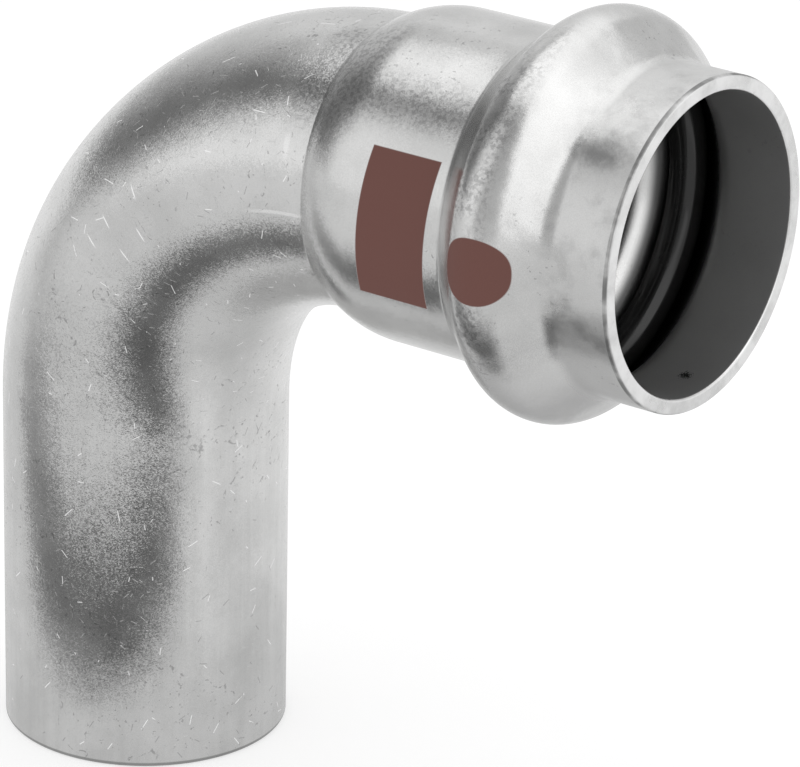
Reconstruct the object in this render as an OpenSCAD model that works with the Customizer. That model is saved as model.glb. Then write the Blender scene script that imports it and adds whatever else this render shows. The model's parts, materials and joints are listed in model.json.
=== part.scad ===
// Press elbow: a quarter bend of steel tube with a plain end below and a press socket at the side.
// The origin is the centre of the plain end's face. +Z runs up the plain end and +X out of the socket.

/* [Tube] */
// Outer diameter of the pipe that the fitting belongs to, and of its own plain end
pipe_d = 22; // [15:0.5:35]
// Wall of the bent tube
tube_wall = 1.5; // [0.8:0.05:2]
// Radius of the bend, measured at the tube's axis
bend_r = 23.6; // [20:0.1:60]
// Straight length of the plain end, up to the bend
spigot_l = 27; // [15:0.1:80]
// Rounding of the plain end's two edges
end_round = 0.3; // [0.05:0.05:0.5]

/* [Socket] */
// Gap all round between an inserted pipe and the socket's bore
pipe_gap = 0.1; // [0.05:0.01:0.3]
// Wall of the socket, thinner than the tube's because the tube is widened there
socket_wall = 1.35; // [0.8:0.05:2]
// Wall of the lip, thinner again because the edge is stretched the most
lip_wall = 1.15; // [0.8:0.05:2]
// Tight-side radius of the two folds of the neck, which also stops the pipe
neck_round = 1.1; // [0.3:0.1:2]
// Straight guide that keeps the pipe in line, from the neck to the bead
guide_l = 9.5; // [5:0.1:30]
// Straight lip, from the bead to the rim
lip_l = 4.9; // [2:0.1:15]
// Rounding of the rim's two edges
rim_round = 0.2; // [0.1:0.05:0.6]

/* [Bead and seal] */
// Diameter of the sealing ring's cord
seal_cord = 2.8; // [2:0.1:4]
// Gap all round between an inserted pipe and the sealing ring, before pressing
seal_gap = 0.05; // [0.02:0.01:0.2]
// Gap between the sealing ring and the floor of its groove
seat_gap = 0.05; // [0.02:0.01:0.2]
// How much larger the groove floor's radius is than the cord's radius
groove_room = 0.45; // [0.2:0.05:1.5]
// Slope of the bead's two flanks
flank_angle = 42; // [35:1:60]
// Radius of the fold at the foot of each flank, on the outside
foot_round = 0.8; // [0.3:0.1:2]

/* [Hidden] */

steel_grey = [0.74, 0.74, 0.75];
rubber_black = [0.05, 0.05, 0.05];

// Largest turn between two points of an arc, and the faces of a full circle
arc_step = 7.5;
$fn = 96;

// A rounded edge takes at most this share of its wall, so two of them leave a flat between
edge_share = 0.48;

// Tube
tube_r = pipe_d / 2;
tube_bore_r = tube_r - tube_wall;
end_r = min(end_round, edge_share * tube_wall);
corner_z = spigot_l + bend_r;

// Socket radii
socket_bore_r = tube_r + pipe_gap;
socket_r = socket_bore_r + socket_wall;
lip_r = socket_bore_r + lip_wall;
rim_r = min(rim_round, edge_share * lip_wall);

// The neck is one fold outwards and one fold back, with no straight between them
neck_folds = 2 * neck_round + socket_wall;
function neck_tilt(rise) = acos(1 - rise / neck_folds);
function neck_run(rise) = neck_folds * sin(neck_tilt(rise));
neck_l = neck_run(socket_r - tube_r);

// The sealing ring fills the gap between pipe and groove, and the bead's height follows from it
seal_r = tube_r + seal_gap + seal_cord / 2;
groove_floor_r = seal_r + seal_cord / 2 + seat_gap;
groove_round = seal_cord / 2 + groove_room;
crest_r = groove_floor_r + socket_wall;
crest_round = groove_round + socket_wall;
bead_h = crest_r - socket_r;

// Each flank is a fold at its foot, a straight slope and half of the crest
bead_folds = crest_round + foot_round;
flank = min(flank_angle, acos(1 - bead_h / bead_folds));
function flank_run(drop, folds) =
    let (slope_l = (drop - folds * (1 - cos(flank))) / sin(flank))
    folds * sin(flank) + slope_l * cos(flank);

// Places along the socket's axis, counted from the end of the bend
bead_start = neck_l + guide_l;
bead_mid = bead_start + flank_run(bead_h, bead_folds);
bead_end = bead_mid + flank_run(crest_r - lip_r, bead_folds);
socket_l = bead_end + lip_l;

function reversed(list) = [for (i = [len(list) - 1 : -1 : 0]) list[i]];

// Points of an arc in the [radius, length] plane
function arc(centre, r, from, to) =
    let (steps = max(2, ceil(abs(to - from) / arc_step)))
    [for (i = [0 : steps])
        let (a = from + (to - from) * i / steps)
        centre + r * [cos(a), sin(a)]];

// One skin of the socket's wall, from the bend to the lip: the outer skin at depth 0, the inner at the wall
function socket_skin(depth, lip_depth, start_r) =
    let (
        guide_at = socket_r - depth,
        lip_at = lip_r - lip_depth,
        tilt = neck_tilt(guide_at - start_r),
        run = neck_run(guide_at - start_r),
        fold_out = neck_round + depth,
        fold_back = neck_round + socket_wall - depth,
        back_foot = foot_round + depth,
        front_foot = foot_round + lip_depth,
        crest = crest_round - depth,
        lip_start = bead_mid + flank_run(crest_r - depth - lip_at, crest + front_foot)
    )
    concat(
        arc([start_r + fold_out, 0], fold_out, 180, 180 - tilt),
        arc([guide_at - fold_back, run], fold_back, -tilt, 0),
        arc([guide_at + back_foot, bead_start], back_foot, 180, 180 - flank),
        arc([crest_r - crest_round, bead_mid], crest, -flank, flank),
        arc([lip_at + front_foot, lip_start], front_foot, 180 + flank, 180)
    );

// Section of the formed socket: outer skin, rounded rim and inner skin
function socket_section() =
    let (rim_at = socket_l - rim_r)
    concat(
        socket_skin(0, 0, tube_r),
        arc([lip_r - rim_r, rim_at], rim_r, 0, 90),
        arc([socket_bore_r + rim_r, rim_at], rim_r, 90, 180),
        reversed(socket_skin(socket_wall, lip_wall, tube_bore_r))
    );

// Section of the plain end, with both edges of its face rounded, drawn down from where the bend starts
function spigot_section() =
    concat(
        arc([tube_r - end_r, end_r - spigot_l], end_r, -90, 0),
        [[tube_r, 0], [tube_bore_r, 0]],
        arc([tube_bore_r + end_r, end_r - spigot_l], end_r, 180, 270)
    );

module spigot() {
    translate([0, 0, spigot_l]) rotate_extrude() polygon(spigot_section());
}

module bend() {
    translate([bend_r, 0, spigot_l])
        rotate([90, 0, 180])
            rotate_extrude(angle = 90)
                translate([bend_r, 0])
                    difference() {
                        circle(r = tube_r);
                        circle(r = tube_bore_r);
                    }
}

module socket() {
    rotate_extrude() polygon(socket_section());
}

// Moves a shape that stands on the Z axis to the socket's axis, with its foot at the end of the bend
module on_socket_axis() {
    translate([bend_r, 0, corner_z]) rotate([0, 90, 0]) children();
}

// One tube: plain end, bend and formed socket
module elbow_body() {
    color(steel_grey) union() {
        spigot();
        bend();
        on_socket_axis() socket();
    }
}

// Rubber ring of round section, seated in the groove under the bead
module sealing_ring() {
    color(rubber_black)
        on_socket_axis()
            translate([0, 0, bead_mid])
                rotate_extrude() translate([seal_r, 0]) circle(d = seal_cord);
}

elbow_body();
sealing_ring();
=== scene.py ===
import json
import math

import bpy
from mathutils import Matrix, Vector


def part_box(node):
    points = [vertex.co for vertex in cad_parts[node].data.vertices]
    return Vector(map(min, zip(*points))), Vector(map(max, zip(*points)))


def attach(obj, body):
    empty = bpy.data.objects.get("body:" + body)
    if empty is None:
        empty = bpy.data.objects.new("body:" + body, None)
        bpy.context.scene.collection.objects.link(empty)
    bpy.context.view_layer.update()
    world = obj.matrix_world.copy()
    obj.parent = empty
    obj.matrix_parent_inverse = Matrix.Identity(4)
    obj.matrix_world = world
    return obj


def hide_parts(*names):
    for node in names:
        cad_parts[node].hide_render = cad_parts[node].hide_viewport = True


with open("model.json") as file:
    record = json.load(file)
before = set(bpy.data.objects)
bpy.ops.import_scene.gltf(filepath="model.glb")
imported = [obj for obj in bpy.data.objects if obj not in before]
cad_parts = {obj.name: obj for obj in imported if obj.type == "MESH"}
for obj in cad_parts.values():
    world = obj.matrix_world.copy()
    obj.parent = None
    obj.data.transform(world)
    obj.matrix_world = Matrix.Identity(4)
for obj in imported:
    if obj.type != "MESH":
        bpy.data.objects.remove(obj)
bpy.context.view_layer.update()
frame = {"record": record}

# Elbow body: one length of steel tube, bent a quarter turn and pickled to a satin grey.
# Its plain end keeps the tube's size. The other end is widened over a mandrel into a neck, a guide,
# a bead that holds the sealing ring and a lip, all drawn from the same wall.
MM = 0.001
mounts = {mount["name"]: mount for mount in frame["record"]["mounts"]}
body_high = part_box("elbow_body")[1]

tube_r = mounts["spigot"]["dims"]["r_mm"] * MM
socket_bore_r = mounts["socket"]["dims"]["r_mm"] * MM
socket_axis_z = mounts["socket"]["pos_m"][2]
mouth_x = body_high[0]
crest_r = body_high[2] - socket_axis_z
bend_r = 23.6 * MM
tube_wall = 1.5 * MM
socket_wall = 1.35 * MM
lip_wall = 1.15 * MM
end_round = 0.3 * MM
rim_round = 0.2 * MM
neck_round = 1.1 * MM
foot_round = 0.8 * MM
lip_foot_round = 1.8 * MM
crest_round = 3.2 * MM
flank = math.radians(42)
lip_l = 4.9 * MM
spigot_l = socket_axis_z - bend_r
tube_bore_r = tube_r - tube_wall
socket_r = socket_bore_r + socket_wall
lip_r = socket_bore_r + lip_wall


def flank_run(drop, folds):
    """Length of a flank of the bead along the axis: the fold at its foot, a slope and half the crest."""
    slope_l = (drop - folds * (1 - math.cos(flank))) / math.sin(flank)
    return folds * math.sin(flank) + slope_l * math.cos(flank)


# Places along the socket's axis, counted from the end of the bend
bead_folds = crest_round + foot_round
socket_l = mouth_x - bend_r
bead_end = socket_l - lip_l
bead_mid = bead_end - flank_run(crest_r - lip_r, bead_folds)
bead_start = bead_mid - flank_run(crest_r - socket_r, bead_folds)


def arc(centre, radius, start, stop, steps):
    """Points of an arc as (distance from the axis, length along it), with angles in radians."""
    turns = [start + (stop - start) * i / steps for i in range(steps + 1)]
    return [(centre[0] + radius * math.cos(a), centre[1] + radius * math.sin(a)) for a in turns]


def straight(first, last, steps):
    """Points between two ends, without the ends themselves."""
    shares = [i / steps for i in range(1, steps)]
    return [(first[0] + (last[0] - first[0]) * s, first[1] + (last[1] - first[1]) * s) for s in shares]


def socket_skin(depth, lip_depth, start_r, lip_fold):
    """One skin of the socket's wall, from the bend to the lip, at a depth below the outside.

    lip_fold is the radius of the outside fold between the bead and the lip.
    """
    guide_at = socket_r - depth
    lip_at = lip_r - lip_depth
    folds = 2 * neck_round + socket_wall
    tilt = math.acos(1 - (guide_at - start_r) / folds)
    run = folds * math.sin(tilt)
    fold_out = neck_round + depth
    fold_back = neck_round + socket_wall - depth
    foot_in = foot_round + depth
    foot_out = lip_fold + lip_depth
    crest_turn = crest_round - depth
    lip_start = bead_mid + flank_run(crest_r - depth - lip_at, crest_turn + foot_out)
    neck = arc((start_r + fold_out, 0), fold_out, math.pi, math.pi - tilt, 9)
    neck += arc((guide_at - fold_back, run), fold_back, -tilt, 0, 9)[1:]
    back_foot = arc((guide_at + foot_in, bead_start), foot_in, math.pi, math.pi - flank, 10)
    crest = arc((crest_r - crest_round, bead_mid), crest_turn, -flank, flank, 30)
    front_foot = arc((lip_at + foot_out, lip_start), foot_out, math.pi + flank, math.pi, 10)
    return (neck + straight(neck[-1], back_foot[0], 14) + back_foot
            + straight(back_foot[-1], crest[0], 5) + crest
            + straight(crest[-1], front_foot[0], 5) + front_foot)


# The tube's section gives a little where it is bent: flatter in the bend's plane, wider across it
bend_squeeze = 0.39 * MM
bend_steps = 90


# A ring of the skin is given by its centre, the way to its outermost point, its radius and its squeeze
def ring_on_leg(r, z):
    return Vector((0, 0, z)), Vector((-1, 0, 0)), r, 0


def ring_on_bend(r, step):
    turn = math.radians(90) * step / bend_steps
    out = Vector((-math.cos(turn), 0, math.sin(turn)))
    return Vector((bend_r, 0, spigot_l)) + bend_r * out, out, r, bend_squeeze * math.sin(2 * turn) ** 2


def ring_on_socket(r, along):
    return Vector((bend_r + along, 0, socket_axis_z)), Vector((0, 0, 1)), r, 0


half_pi = math.pi / 2
end_edge = arc((tube_r - end_round, end_round), end_round, -half_pi, 0, 6)
end_edge += straight(end_edge[-1], (tube_r, spigot_l), 30)
end_bore = straight((tube_bore_r, spigot_l), (tube_bore_r, end_round), 12)
end_bore += arc((tube_bore_r + end_round, end_round), end_round, math.pi, 3 * half_pi, 6)
outer_skin = socket_skin(0, 0, tube_r, lip_foot_round)
inner_skin = socket_skin(socket_wall, lip_wall, tube_bore_r, foot_round)

# On the outside the die's edge left a crease at the neck, and the wall rolls over from it to the guide
crease_at = -0.6 * MM
crease_round = 0.25 * MM
shoulder_run = 4.8 * MM
shoulder_margin = 0.2 * MM
shoulder_tilt = 2 * math.atan((socket_r - tube_r) / shoulder_run)
shoulder_round = shoulder_run / math.sin(shoulder_tilt) - crease_round
shoulder_end = crease_at + shoulder_run
shoulder = arc((tube_r + crease_round, crease_at), crease_round, math.pi, math.pi - shoulder_tilt, 6)
shoulder += arc((socket_r - shoulder_round, shoulder_end), shoulder_round, -shoulder_tilt, 0, 20)[1:]
outer_skin = shoulder + [(r, along) for r, along in outer_skin if along > shoulder_end + shoulder_margin]
rim_at = socket_l - rim_round
outer_skin += straight(outer_skin[-1], (lip_r, rim_at), 8)
outer_skin += arc((lip_r - rim_round, rim_at), rim_round, 0, half_pi, 6)
inner_skin += straight(inner_skin[-1], (socket_bore_r, rim_at), 8)
inner_skin += arc((socket_bore_r + rim_round, rim_at), rim_round, math.pi, half_pi, 6)

rings = [ring_on_leg(r, z) for r, z in end_edge]
rings += [ring_on_bend(tube_r, step) for step in range(bend_steps - 2)]
rings += [ring_on_socket(r, along) for r, along in outer_skin]
mouth_ring = len(rings)
rings += [ring_on_socket(r, along) for r, along in reversed(inner_skin)]
rings += [ring_on_bend(tube_bore_r, step) for step in reversed(range(1, bend_steps, 2))]
rings += [ring_on_leg(r, z) for r, z in [(tube_bore_r, spigot_l)] + end_bore]

ring_points = 160
front = Vector((0, -1, 0))
seam_turn = math.radians(-90)


def point_on(ring, k):
    centre, out, r, squeeze = ring
    turn = seam_turn + 2 * math.pi * k / ring_points
    return centre + (r - squeeze) * math.cos(turn) * out + (r + squeeze / 2) * math.sin(turn) * front


def swept_mesh(name, rings, ring_points, point_on):
    """A closed skin over a loop of rings, with a map of skin length across and angle up."""
    count = len(rings)
    points = [point_on(ring, k) for ring in rings for k in range(ring_points)]
    lengths = [0]
    for i in range(count):
        here, there = points[i * ring_points], points[(i + 1) % count * ring_points]
        lengths.append(lengths[-1] + (there - here).length)
    faces = []
    places = []
    for i in range(count):
        j = (i + 1) % count
        for k in range(ring_points):
            m = (k + 1) % ring_points
            faces.append([i * ring_points + k, j * ring_points + k, j * ring_points + m, i * ring_points + m])
            for row, turn in ((i, k), (i + 1, k), (i + 1, k + 1), (i, k + 1)):
                places += [lengths[row] / lengths[-1], turn / ring_points]
    mesh = bpy.data.meshes.new(name)
    mesh.from_pydata(points, [], faces)
    mesh.uv_layers.new(name="wrap").data.foreach_set("uv", places)
    mesh.shade_smooth()
    made = bpy.data.objects.new(name, mesh)
    bpy.context.collection.objects.link(made)
    return made, lengths


elbow, elbow_lengths = swept_mesh("formed_tube", rings, ring_points, point_on)
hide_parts("elbow_body")
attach(elbow, "root")


def new_material(name):
    made = bpy.data.materials.new(name)
    made.use_nodes = True
    return made, made.node_tree, made.node_tree.nodes["Principled BSDF"]


def put(tree, kind, sockets, **settings):
    """Adds a node, sets its options and fills its sockets with values or links."""
    made = tree.nodes.new(kind)
    for name, value in settings.items():
        setattr(made, name, value)
    for name, value in sockets.items():
        if isinstance(value, bpy.types.NodeSocket):
            tree.links.new(value, made.inputs[name])
        else:
            made.inputs[name].default_value = value
    return made


def maths(tree, operation, first, second=0.0, third=0.0):
    sockets = {0: first, 1: second, 2: third}
    return put(tree, "ShaderNodeMath", sockets, operation=operation).outputs[0]


def ramp(tree, value, low, high, at_low=0.0, at_high=1.0):
    """A soft step from one value to another."""
    sockets = {"Value": value, "From Min": low, "From Max": high, "To Min": at_low, "To Max": at_high}
    return put(tree, "ShaderNodeMapRange", sockets, interpolation_type="SMOOTHSTEP").outputs[0]


def between(tree, value, start, stop, soft):
    """One between two values and nought beyond them, with soft edges."""
    return maths(tree, "MULTIPLY", ramp(tree, value, start - soft, start + soft),
                 ramp(tree, value, stop - soft, stop + soft, 1.0, 0.0))


def noise(tree, where, size, detail=2.0, roughness=0.5):
    """Cloudy noise whose patches measure about the given size, in the units of the place."""
    sockets = {"Vector": where, "Scale": 1 / size, "Detail": detail, "Roughness": roughness}
    return put(tree, "ShaderNodeTexNoise", sockets).outputs[0]


def mixed(tree, share, first, second):
    """A colour between two others."""
    made = put(tree, "ShaderNodeMix", {}, data_type="RGBA")
    for index, value in ((0, share), (6, first), (7, second)):
        if isinstance(value, bpy.types.NodeSocket):
            tree.links.new(value, made.inputs[index])
        else:
            made.inputs[index].default_value = value
    return made.outputs[2]


def strokes(tree, where, cell, length, width, kept):
    """Short straight scratches, at most one in each cell, each with an angle and length of its own."""
    cells = put(tree, "ShaderNodeTexVoronoi", {"Vector": where, "Scale": 1 / cell}, voronoi_dimensions="2D")
    chance = put(tree, "ShaderNodeSeparateColor", {"Color": cells.outputs["Color"]})
    away = put(tree, "ShaderNodeVectorMath", {0: where, 1: cells.outputs["Position"]}, operation="SUBTRACT")
    turn = maths(tree, "MULTIPLY", chance.outputs[0], 2 * math.pi)
    spun = put(tree, "ShaderNodeVectorRotate", {"Vector": away.outputs[0], "Angle": turn},
               rotation_type="Z_AXIS")
    local = put(tree, "ShaderNodeSeparateXYZ", {"Vector": spun.outputs[0]})
    reach = maths(tree, "MULTIPLY", chance.outputs[1], length)
    along = maths(tree, "LESS_THAN", maths(tree, "ABSOLUTE", local.outputs[0]), reach)
    across = ramp(tree, maths(tree, "ABSOLUTE", local.outputs[1]), 0.2 * width, width, 1.0, 0.0)
    present = maths(tree, "LESS_THAN", chance.outputs[2], kept)
    return maths(tree, "MULTIPLY", maths(tree, "MULTIPLY", along, across), present)


steel, steel_tree, steel_shader = new_material("satin_pickled_steel")
spot = put(steel_tree, "ShaderNodeTexCoord", {}).outputs["Object"]
wrap = put(steel_tree, "ShaderNodeUVMap", {}, uv_map="wrap").outputs[0]
skin_size = (elbow_lengths[-1], 2 * math.pi * tube_r, 0)
skin = put(steel_tree, "ShaderNodeVectorMath", {0: wrap, 1: skin_size}, operation="MULTIPLY").outputs[0]


def steel_maths(operation, first, second=0.0, third=0.0):
    return maths(steel_tree, operation, first, second, third)


def times(first, second):
    return steel_maths("MULTIPLY", first, second)


def minus(first, second):
    return steel_maths("SUBTRACT", first, second)


def larger(first, second):
    return steel_maths("MAXIMUM", first, second)


def size_of(value):
    """A value without its sign."""
    return steel_maths("ABSOLUTE", value)


def diagonal(first, second):
    """The distance made by two sides at right angles."""
    return steel_maths("SQRT", steel_maths("ADD", times(first, first), times(second, second)))


def step(value, low, high, at_low=0.0, at_high=1.0):
    """A soft step on the steel, from one value to another."""
    return ramp(steel_tree, value, low, high, at_low, at_high)


def fade(value, low, high):
    """One up to a first value and nought from a second on."""
    return step(value, low, high, 1.0, 0.0)


def band(value, start, stop, soft):
    """One on a soft-edged band of the steel, and nought beyond it."""
    return between(steel_tree, value, start, stop, soft)


def patches(size, detail=2.0, roughness=0.5):
    """Cloudy noise all over the steel, in patches of about the given size."""
    return noise(steel_tree, spot, size, detail, roughness)


def greyed(tone, share, grey):
    """The tone with a share of a plain grey in it."""
    return mixed(steel_tree, share, tone, (grey, grey, grey, 1))


# Places on the steel: along the socket's axis, round it from the top, and along and round the skin
place = put(steel_tree, "ShaderNodeSeparateXYZ", {"Vector": spot})
along = place.outputs[0]
upward = place.outputs[2]
toward = times(place.outputs[1], -1.0)
height = minus(upward, socket_axis_z)
turn = steel_maths("ARCTAN2", toward, height)
skin_place = put(steel_tree, "ShaderNodeSeparateXYZ", {"Vector": skin})
skin_along = skin_place.outputs[0]
skin_around = skin_place.outputs[1]
bead_start_x = bend_r + bead_start
bead_mid_x = bend_r + bead_mid
bead_end_x = bend_r + bead_end
on_tube = steel_maths("LESS_THAN", along, bend_r + crease_at)
on_guide = step(along, bend_r, bend_r + 4 * MM)
on_bead = step(along, bead_start_x - 1 * MM, bead_start_x + 2 * MM)
on_lip = step(along, bead_end_x - 0.8 * MM, bead_end_x + 0.4 * MM)
inside = steel_maths("GREATER_THAN", skin_along, elbow_lengths[mouth_ring])
outside = minus(1.0, inside)


def turned(start, stop, soft):
    """One between two turns round the socket, in degrees from its top."""
    return band(turn, math.radians(start), math.radians(stop), math.radians(soft))


# Pickling leaves an even grain with soft clouds in it, and drawing left faint streaks along the leg
pale_tone = (0.76, 0.76, 0.755, 1)
grey_tone = (0.63, 0.63, 0.625, 1)
streak_stretch = (0.06, 1, 1)
clouds = patches(6 * MM, 4, 0.6)
grain = patches(0.085 * MM, 0)
long_way = put(steel_tree, "ShaderNodeVectorMath", {0: skin, 1: streak_stretch}, operation="MULTIPLY")
streaks = minus(noise(steel_tree, long_way.outputs[0], 0.8 * MM, 3, 0.6), 0.5)
streaks = times(streaks, step(upward, spigot_l - 3 * MM, spigot_l + 9 * MM, 1.0, 0.15))
streaks = times(streaks, on_tube)
shades = steel_maths("MULTIPLY_ADD", minus(grain, 0.5), 0.3, clouds)
shades = steel_maths("MULTIPLY_ADD", streaks, 0.4, shades)
tone = mixed(steel_tree, step(shades, 0.25, 0.75), grey_tone, pale_tone)

# Handling has nicked and scratched the tube here and there, with short marks in every direction
nicks = times(strokes(steel_tree, skin, 0.7 * MM, 0.3 * MM, 0.03 * MM, 0.5), on_tube)
short_scratches = strokes(steel_tree, skin, 2.0 * MM, 0.5 * MM, 0.055 * MM, 0.34)
long_scratches = strokes(steel_tree, skin, 8 * MM, 0.8 * MM, 0.055 * MM, 0.4)
bright_scratches = times(larger(short_scratches, long_scratches), on_tube)
dark_scratches = times(strokes(steel_tree, skin, 1.8 * MM, 0.36 * MM, 0.06 * MM, 0.38), on_tube)


def rubbed(along_at, around_at, half_along, half_around):
    """A bright rubbed mark, given by its place and half size in mm along the tube and round it."""
    off_along = size_of(minus(skin_along, along_at * MM))
    off_around = size_of(minus(skin_around, around_at * MM))
    return times(fade(off_along, 0.3 * half_along * MM, half_along * MM),
                 fade(off_around, 0.3 * half_around * MM, half_around * MM))


# The bending shoe left a few short marks across the bend, and a longer one where it stopped at the neck
shoe_marks = ((43.2, 32.5), (45.3, 32.3), (48.7, 31.8), (45.1, 35.3), (47.6, 34.9))
for mark_along, mark_around in shoe_marks:
    bright_scratches = larger(bright_scratches, rubbed(mark_along, mark_around, 0.08, 0.8))
stop_mark = larger(rubbed(62.2, 30.7, 0.3, 1.3), rubbed(61.5, 35.7, 4, 0.2))
bright_scratches = larger(bright_scratches, times(stop_mark, 0.4))
tone = greyed(tone, times(bright_scratches, 0.8), 0.97)
tone = greyed(tone, times(dark_scratches, 0.45), 0.25)

# Small pits lie in groups, most of them at the inside of the bend, and rinse water dried in thin lines
pitted_at = (tube_r, -0.5 * MM, spigot_l - 1 * MM)
pitted_off = put(steel_tree, "ShaderNodeVectorMath", {0: spot, 1: pitted_at}, operation="DISTANCE")
pit_groups = times(step(patches(9 * MM, 1), 0.5, 0.62), 0.7)
pit_groups = larger(pit_groups, fade(pitted_off.outputs["Value"], 1.5 * MM, 5 * MM))
pits = times(step(patches(0.4 * MM, 2, 0.6), 0.64, 0.7), pit_groups)
tone = greyed(tone, times(pits, 0.6), 0.2)
wander = minus(patches(8 * MM, 3, 0.55), 0.5)
dried = fade(size_of(wander), 0.001, 0.007)
dried = times(dried, step(patches(0.35 * MM, 2), 0.5, 0.6))
dried = times(dried, step(patches(11 * MM, 0), 0.47, 0.55))
tone = greyed(tone, times(times(dried, on_tube), 0.5), 0.2)

# The rounded edge at the foot of the plain end, where it meets the table, is darker
foot_edge_dark = fade(upward, end_round, 1.4 * end_round)
tone = greyed(tone, times(foot_edge_dark, 0.7), 0.22)

# The bead and the neck are smudged where the forming tools gripped them. Painted shade darkens the bead's
# underside, and a painted reflection lays a speckled dark band along the guide
speckle = step(patches(0.35 * MM, 3, 0.65), 0.42, 0.62)
bead_grip = times(band(along, bead_mid_x - 2.4 * MM, bead_mid_x + 0.9 * MM, 0.6 * MM), turned(18, 135, 14))
bead_smudge = times(bead_grip, times(speckle, step(patches(3 * MM, 2), 0.35, 0.58)))
# Painted shade: the bead's underside is darker, mottled by the clouds
bead_underside_shade = times(fade(height, -13 * MM, -3 * MM), on_bead)
smudge_and_shade = larger(times(bead_smudge, 0.6), times(bead_underside_shade, step(clouds, 0.3, 0.7, 0.35, 0.65)))
neck_grip = times(band(along, bend_r - 3 * MM, bend_r + 3.8 * MM, 0.8 * MM), turned(14, 60, 9))
smudge_and_shade = larger(smudge_and_shade, times(neck_grip, step(speckle, 0.0, 1.0, 0.2, 0.6)))
# Painted reflection: a speckled dark band along the guide, where it reflects a dark band
guide_reflection_speckle = times(band(along, bend_r + 3 * MM, bead_start_x, 1 * MM), turned(37, 53, 6))
smudge_and_shade = larger(smudge_and_shade, times(guide_reflection_speckle, step(speckle, 0.0, 1.0, 0.05, 0.5)))

# The lip is blotched all round, and a thumb has marked it once
thumb_along = steel_maths("DIVIDE", minus(along, mouth_x - 3.2 * MM), 2.8 * MM)
thumb_around = steel_maths("DIVIDE", minus(turn, math.radians(46)), math.radians(8))
thumb_off = steel_maths("ADD", diagonal(thumb_along, thumb_around), minus(patches(0.6 * MM, 4, 0.7), 0.5))
smudge_and_shade = larger(smudge_and_shade, step(thumb_off, 0.1, 1.1, 0.75, 0.0))
lip_blotch = step(patches(2.2 * MM, 5, 0.65), 0.46, 0.68, 0.0, 0.28)
lip_blotch = times(lip_blotch, step(along, bead_end_x - 3 * MM, bead_end_x + 1.5 * MM))
smudge_and_shade = larger(smudge_and_shade, lip_blotch)
tone = greyed(tone, times(smudge_and_shade, outside), 0.28)

# Painted shade darkens the lip's inside to a dark grey and the ring's groove nearly to black; grease from
# the ring has dulled the lip's inside and left one black blot there
before_rim = steel_maths("LESS_THAN", along, mouth_x - 0.6 * rim_round)
in_lip = times(step(along, bead_mid_x + 2 * MM, bead_mid_x + 4 * MM), before_rim)
in_lip = times(in_lip, inside)
# Painted shade on the lip's inside
tone = greyed(tone, times(in_lip, 0.8), 0.21)
# Painted shade in the ring's groove, nearly black
groove_shade = times(step(along, bead_start_x + 1.5 * MM, bead_start_x + 2.2 * MM),
                  fade(along, bead_mid_x + 2.4 * MM, bead_mid_x + 3.8 * MM))
groove_shade = times(groove_shade, inside)
tone = greyed(tone, times(groove_shade, 0.9), 0.03)
blot_x = mouth_x - 2.4 * MM
blot_turn = math.radians(-170.7)
blot_half = 0.42 * MM
blot_off = diagonal(times(minus(turn, blot_turn), socket_bore_r), minus(along, blot_x))
blot_off = steel_maths("ADD", blot_off, times(minus(grain, 0.5), 1.2 * MM))
black_blot = times(fade(blot_off, 0.7 * blot_half, blot_half), in_lip)
tone = greyed(tone, black_blot, 0.01)

# The rim is cut bright in patches, and painted shade draws a thin dark line along its outer edge, where it
# rounds over, which fades here and there
rim_face = steel_maths("GREATER_THAN", along, mouth_x - 0.5 * rim_round)
rim_patch = step(patches(3 * MM, 4, 0.6), 0.36, 0.64, 0.25, 0.75)
tone = greyed(tone, times(rim_face, rim_patch), 0.92)
# Painted shade: a thin dark line where the rim's outer edge rounds over
rim_edge_shade = band(along, mouth_x - 1.8 * rim_round, mouth_x - 0.2 * rim_round, 0.15 * rim_round)
rim_edge_shade = times(rim_edge_shade, outside)
rim_edge_shade = times(rim_edge_shade, step(patches(5 * MM, 4, 0.6), 0.38, 0.6, 0.1, 1.0))
tone = greyed(tone, times(rim_edge_shade, 0.8), 0.12)

# The printed mark: a brown panel on the guide and a brown dot on the bead, in matt ink
ink_brown = (0.145, 0.068, 0.058, 1)
ink_edge = 0.05 * MM
panel_x = (29.13 * MM, 35.01 * MM)
panel_turn = (math.radians(62.2), math.radians(115.0))
panel_lean = 0.8 * MM
panel_mid_x = sum(panel_x) / 2
panel_mid_turn = sum(panel_turn) / 2
panel_off = minus(turn, panel_mid_turn)
lean = times(panel_off, panel_lean / (panel_turn[1] - panel_turn[0]))
panel_along = minus(steel_maths("ADD", along, lean), panel_mid_x)
panel_off_x = minus(size_of(panel_along), panel_x[1] - panel_mid_x)
panel_off_turn = minus(size_of(panel_off), panel_turn[1] - panel_mid_turn)
panel = fade(larger(panel_off_x, times(panel_off_turn, socket_r)), -ink_edge, ink_edge)
dot_x = 41 * MM
dot_turn = math.radians(89.6)
dot_half_x = 2.5 * MM
dot_half_turn = math.radians(9.3)
dot_fullness = 2.4
dot_along = size_of(steel_maths("DIVIDE", minus(along, dot_x), dot_half_x))
dot_around = size_of(steel_maths("DIVIDE", minus(turn, dot_turn), dot_half_turn))
dot_off = steel_maths("ADD", steel_maths("POWER", dot_along, dot_fullness),
                      steel_maths("POWER", dot_around, dot_fullness))
dot_off = steel_maths("POWER", dot_off, 1 / dot_fullness)
dot = fade(dot_off, 0.98, 1.02)
ink = times(larger(panel, dot), outside)
tone = mixed(steel_tree, ink, tone, ink_brown)

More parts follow.
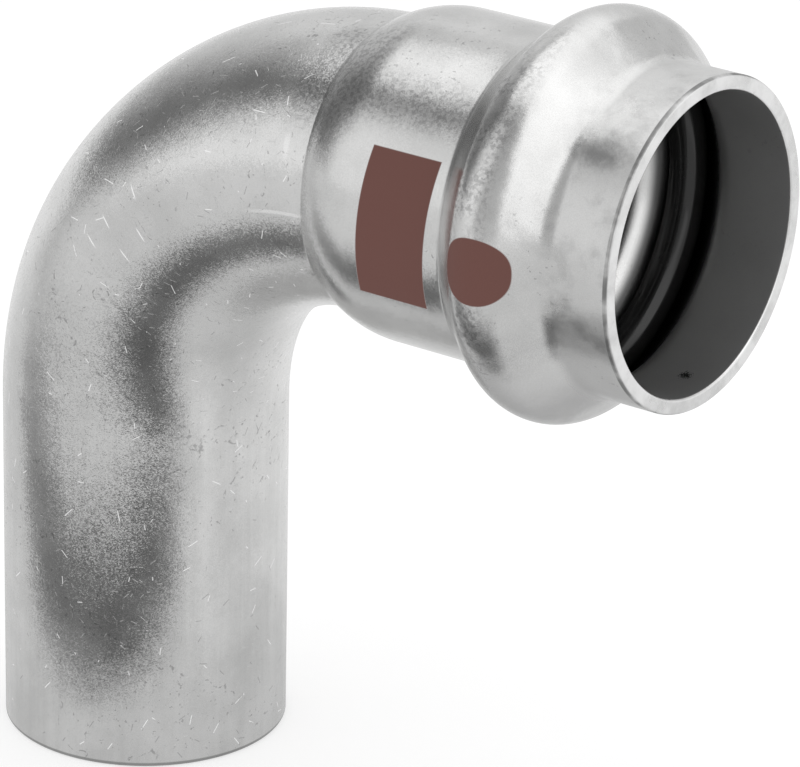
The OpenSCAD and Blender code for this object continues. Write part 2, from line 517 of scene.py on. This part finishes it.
# Ink covers the metal, grease and scratches dull it, and the tube is brighter than the formed socket
dulled = larger(times(in_lip, 0.3), times(bright_scratches, 0.7))
bare = minus(1.0, larger(ink, dulled))
dullness = step(clouds, 0.25, 0.75, 0.16, 0.22)
dullness = steel_maths("MULTIPLY_ADD", on_guide, 0.03, dullness)
dullness = steel_maths("MULTIPLY_ADD", on_bead, 0.02, dullness)
dullness = steel_maths("MULTIPLY_ADD", on_lip, step(clouds, 0.3, 0.7, 0.03, 0.14), dullness)
dullness = larger(dullness, times(in_lip, 0.4))
dullness = larger(dullness, times(ink, 0.5))

# Forming left low waves, most of them on the bead, and pickling left fine crystals that each tilt the light
wave_height = 0.1 * MM
grain_height = 0.011 * MM
crystal_size = 0.1 * MM
crystal_tilt = 0.088
wave_kept = times(step(on_bead, 0.0, 1.0, 0.35, 1.0), outside)
wavy = put(steel_tree, "ShaderNodeBump",
           {"Height": patches(2.6 * MM, 1), "Strength": wave_kept, "Distance": wave_height})
relief = steel_maths("MULTIPLY_ADD", nicks, 0.6, times(grain, 0.5))
grain_kept = minus(1.0, times(on_guide, 0.5))
grain_kept = times(grain_kept, minus(1.0, times(inside, 0.7)))
bump = put(steel_tree, "ShaderNodeBump",
           {"Height": relief, "Strength": grain_kept, "Distance": grain_height, "Normal": wavy.outputs[0]})
crystals = put(steel_tree, "ShaderNodeTexVoronoi", {"Vector": spot, "Scale": 1 / crystal_size})
facing = put(steel_tree, "ShaderNodeVectorMath", {0: crystals.outputs["Color"], 1: (0.5, 0.5, 0.5)},
             operation="SUBTRACT")
for operation, sockets in (("SCALE", {"Scale": times(grain_kept, crystal_tilt)}),
                           ("ADD", {1: bump.outputs[0]}),
                           ("NORMALIZE", {})):
    facing = put(steel_tree, "ShaderNodeVectorMath", {0: facing.outputs[0], **sockets}, operation=operation)
steel_tree.links.new(tone, steel_shader.inputs["Base Color"])
steel_tree.links.new(bare, steel_shader.inputs["Metallic"])
steel_tree.links.new(dullness, steel_shader.inputs["Roughness"])
steel_tree.links.new(facing.outputs[0], steel_shader.inputs["Normal"])
steel_shader.inputs["Specular IOR Level"].default_value = 0.1
elbow.data.materials.append(steel)

# Sealing ring: a black rubber ring of round section, moulded in two halves, so a fine flash runs
# round it where the mould parted. It lies in the bead's groove and is lightly greased.
seal_low, seal_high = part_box("sealing_ring")
seal_cord_r = (seal_high[0] - seal_low[0]) / 2
seal_r = seal_high[2] - socket_axis_z - seal_cord_r
seal_x = (seal_high[0] + seal_low[0]) / 2
flash_h = 0.05 * MM
flash_turns = (math.radians(138), math.radians(152))
flash_half = math.radians(2.5)
cord_points = 180
seal_points = 240


def cord_point(seal_step, k):
    """A point of the ring's skin: seal_step goes round the cord, k goes round the ring."""
    turn = 2 * math.pi * seal_step / cord_points
    flash = max(max(0, 1 - abs(turn - at) / flash_half) for at in flash_turns)
    swell = seal_cord_r + flash_h * flash
    around = 2 * math.pi * k / seal_points
    reach = seal_r + swell * math.cos(turn)
    return Vector((seal_x - swell * math.sin(turn), -reach * math.sin(around),
                   socket_axis_z + reach * math.cos(around)))


seal = swept_mesh("rubber_ring", list(range(cord_points)), seal_points, cord_point)[0]
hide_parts("sealing_ring")
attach(seal, "root")

rubber, rubber_tree, rubber_shader = new_material("greased_black_rubber")
rubber_spot = put(rubber_tree, "ShaderNodeTexCoord", {}).outputs["Object"]
film = noise(rubber_tree, rubber_spot, 2.5 * MM, 3)
rubber_tone = mixed(rubber_tree, film, (0.008, 0.008, 0.008, 1), (0.02, 0.02, 0.02, 1))
rubber_tree.links.new(rubber_tone, rubber_shader.inputs["Base Color"])
rubber_tree.links.new(ramp(rubber_tree, film, 0.3, 0.7, 0.1, 0.2), rubber_shader.inputs["Roughness"])
seal.data.materials.append(rubber)

# Studio: a white table in a white tent, which lights the part softly from all round. A dark patch is painted
# on the table before the part as its shadow there, and the tent has gaps and brighter panels. The painted
# shadow, the gaps and the panels are seen only in the steel, as reflections.
studio = bpy.context.scene
studio.view_settings.view_transform = "Standard"
table_half = 4.0
table_mesh = bpy.data.meshes.new("white_table")
table_mesh.from_pydata([(-table_half, -table_half, 0), (table_half, -table_half, 0),
                        (table_half, table_half, 0), (-table_half, table_half, 0)], [], [(0, 1, 2, 3)])
table = bpy.data.objects.new("white_table", table_mesh)
bpy.context.collection.objects.link(table)

table_paper, table_tree, table_shader = new_material("white_paper")
table_shader.inputs["Base Color"].default_value = (0.45, 0.45, 0.45, 1)
table_shader.inputs["Roughness"].default_value = 0.9
table_shader.inputs["Specular IOR Level"].default_value = 0.1
table_shader.inputs["Emission Color"].default_value = (1, 1, 1, 1)
table_shader.inputs["Emission Strength"].default_value = 0.6
table_spot = put(table_tree, "ShaderNodeTexCoord", {}).outputs["Object"]
table_place = put(table_tree, "ShaderNodeSeparateXYZ", {"Vector": table_spot})
table_x = table_place.outputs[0]
table_y = table_place.outputs[1]


def table_maths(operation, first, second=0.0):
    return maths(table_tree, operation, first, second)


def table_step(value, low, high, at_low=0.0, at_high=1.0):
    """A soft step across the table, between two places in mm."""
    return ramp(table_tree, value, low * MM, high * MM, at_low, at_high)


def relit(tree, light, share, brightness):
    """A light with a share of it brought to another brightness."""
    return put(tree, "ShaderNodeMix", {0: share, 2: light, 3: brightness}).outputs[0]


# The table is darker in the part's own shade, and brighter under the socket and at the back
table_seen = 0.75
shade_seen = 0.64
shade_squares = []
for table_way, centre, half in ((table_x, 12 * MM, 58 * MM), (table_y, 4 * MM, 52 * MM)):
    shade_off = table_maths("DIVIDE", table_maths("SUBTRACT", table_way, centre), half)
    shade_squares.append(table_maths("MULTIPLY", shade_off, shade_off))
shade_off = table_maths("SQRT", table_maths("ADD", shade_squares[0], shade_squares[1]))
table_light = ramp(table_tree, shade_off, 0.1, 1.0, shade_seen, table_seen)
glow_seen = 0.88
glow = table_maths("MULTIPLY", table_step(table_y, -22, -12), table_step(table_y, -6, 14, 1.0, 0.0))
glow = table_maths("MULTIPLY", table_step(table_x, 18, 56), glow)
table_light = relit(table_tree, table_light, glow, glow_seen)
table_light = table_maths("ADD", table_light, table_step(table_y, 0, 58, 0.0, 0.16))

# The painted shadow's edge away from the part bows out on the left, and the painted shadow thins out to both
# sides
shadow_patch_seen = 0.11
shadow_patch_bow = table_maths("MINIMUM", table_maths("ADD", table_x, 20 * MM), 0.0)
shadow_patch_far = table_maths("SUBTRACT", table_y, table_maths("MULTIPLY", shadow_patch_bow, 0.18))
shadow_patch = table_maths("MULTIPLY", table_step(shadow_patch_far, -66, -45), table_step(table_y, -32, -18, 1.0, 0.0))
shadow_patch = table_maths("MULTIPLY", shadow_patch, table_step(table_x, 42, 76, 1.0, 0.0))
shadow_patch = table_maths("MULTIPLY", shadow_patch, table_step(table_x, -170, 30, 0.25, 1.0))
table_light = relit(table_tree, table_light, shadow_patch, shadow_patch_seen)
table_mirrored = put(table_tree, "ShaderNodeEmission", {"Color": (1, 1, 1, 1), "Strength": table_light})
table_rays = put(table_tree, "ShaderNodeLightPath", {})
table_mix = put(table_tree, "ShaderNodeMixShader", {0: table_rays.outputs["Is Glossy Ray"]})
table_tree.links.new(table_shader.outputs[0], table_mix.inputs[1])
table_tree.links.new(table_mirrored.outputs[0], table_mix.inputs[2])
table_tree.links.new(table_mix.outputs[0], table_tree.nodes["Material Output"].inputs["Surface"])
table_mesh.materials.append(table_paper)

tent = bpy.data.worlds.new("white_tent")
tent.use_nodes = True
tent_tree = tent.node_tree
studio.world = tent
tent_way = put(tent_tree, "ShaderNodeTexCoord", {}).outputs["Generated"]
tent_place = put(tent_tree, "ShaderNodeSeparateXYZ", {"Vector": tent_way})


def tent_maths(operation, first, second=0.0):
    return maths(tent_tree, operation, first, second)


tent_ahead = tent_maths("MULTIPLY", tent_place.outputs[1], -1.0)
heading = tent_maths("DEGREES", tent_maths("ARCTAN2", tent_place.outputs[0], tent_ahead))
lift = tent_maths("DEGREES", tent_maths("ARCSINE", tent_place.outputs[2]))

# Parts of the tent in degrees: from heading, to heading, softness, from lift, to lift, softness, brightness
tent_parts = (
    (-20, 36, 9, -4, 66, 6, 0.5),
    (-62, -24, 7, -8, 31, 8, 0.98),
    (62, 116, 10, 20, 74, 8, 1.35),
    (46, 66, 8, -12, 74, 6, 1.3),
    (121, 140, 5, -12, 32, 6, 1.25),
    (-138, -88, 14, 34, 49, 4, 0.6),
    (152, 200, 8, -8, 42, 6, 0.64),
    (-200, -166, 7, -8, 22, 8, 0.64),
)
tent_light = ramp(tent_tree, lift, 15, 65, 0.74, 1.28)
for start, stop, soft, low, high, low_soft, brightness in tent_parts:
    panel_share = tent_maths("MULTIPLY", between(tent_tree, heading, start, stop, soft),
                             between(tent_tree, lift, low, high, low_soft))
    tent_light = relit(tent_tree, tent_light, panel_share, brightness)

# One gap lies high over the front, and one on the left leans forward as it rises
top_gap_lift = 56
top_gap_seen = 0.3
top_gap_off = tent_maths("ABSOLUTE", tent_maths("SUBTRACT", lift, top_gap_lift))
top_gap = tent_maths("MULTIPLY", ramp(tent_tree, top_gap_off, 1, 21, 1.0, 0.0),
                     between(tent_tree, heading, -60, 28, 11))
tent_light = relit(tent_tree, tent_light, tent_maths("MULTIPLY", top_gap, 0.85), top_gap_seen)
side_gap_heading = -86
side_gap_seen = 0.19
gap_lean = tent_maths("MULTIPLY", tent_maths("MULTIPLY", lift, lift), 0.0085)
gap_off = tent_maths("SUBTRACT", tent_maths("SUBTRACT", heading, side_gap_heading), gap_lean)
side_gap = tent_maths("MULTIPLY", ramp(tent_tree, gap_off, 5, 38, 1.0, 0.0),
                      ramp(tent_tree, gap_off, -50, -2))
side_gap = tent_maths("MULTIPLY", side_gap, between(tent_tree, lift, 1, 51, 5))
tent_light = relit(tent_tree, tent_light, side_gap, side_gap_seen)
tent_rays = put(tent_tree, "ShaderNodeLightPath", {})
tent_strength = relit(tent_tree, 1.0, tent_rays.outputs["Is Glossy Ray"], tent_light)
tent_back = tent_tree.nodes["Background"]
tent_back.inputs["Color"].default_value = (1, 1, 1, 1)
tent_tree.links.new(tent_strength, tent_back.inputs["Strength"])

# Camera: a long lens, a little above the part and to the right of its front. Its lens is given by the
# focal length as a share of the picture's width.
view_az = math.radians(36.143)
view_el = math.radians(21.910)
view_roll = math.radians(1.151)
view_distance = 396.0 * MM
view_aside = 19.064 * MM
view_below = 21.550 * MM
focal_pixels = 5266.7
picture_pixels = 800
sensor_w = 36
level = Vector((math.cos(view_az), math.sin(view_az), 0))
ahead = Vector((math.sin(view_az), -math.cos(view_az), 0))
back = math.cos(view_el) * ahead + math.sin(view_el) * Vector((0, 0, 1))
upright = back.cross(level)
right = math.cos(view_roll) * level + math.sin(view_roll) * upright
up = math.cos(view_roll) * upright - math.sin(view_roll) * level
stand = Vector((0, 0, socket_axis_z)) + view_aside * right - view_below * up + view_distance * back
camera_data = bpy.data.cameras.new("camera")
camera_data.sensor_width = sensor_w
camera_data.lens = sensor_w * focal_pixels / picture_pixels
camera_data.clip_start = 0.01
camera = bpy.data.objects.new("camera", camera_data)
camera.matrix_world = Matrix.Translation(stand) @ Matrix((right, up, back)).transposed().to_4x4()
bpy.context.collection.objects.link(camera)
studio.camera = camera
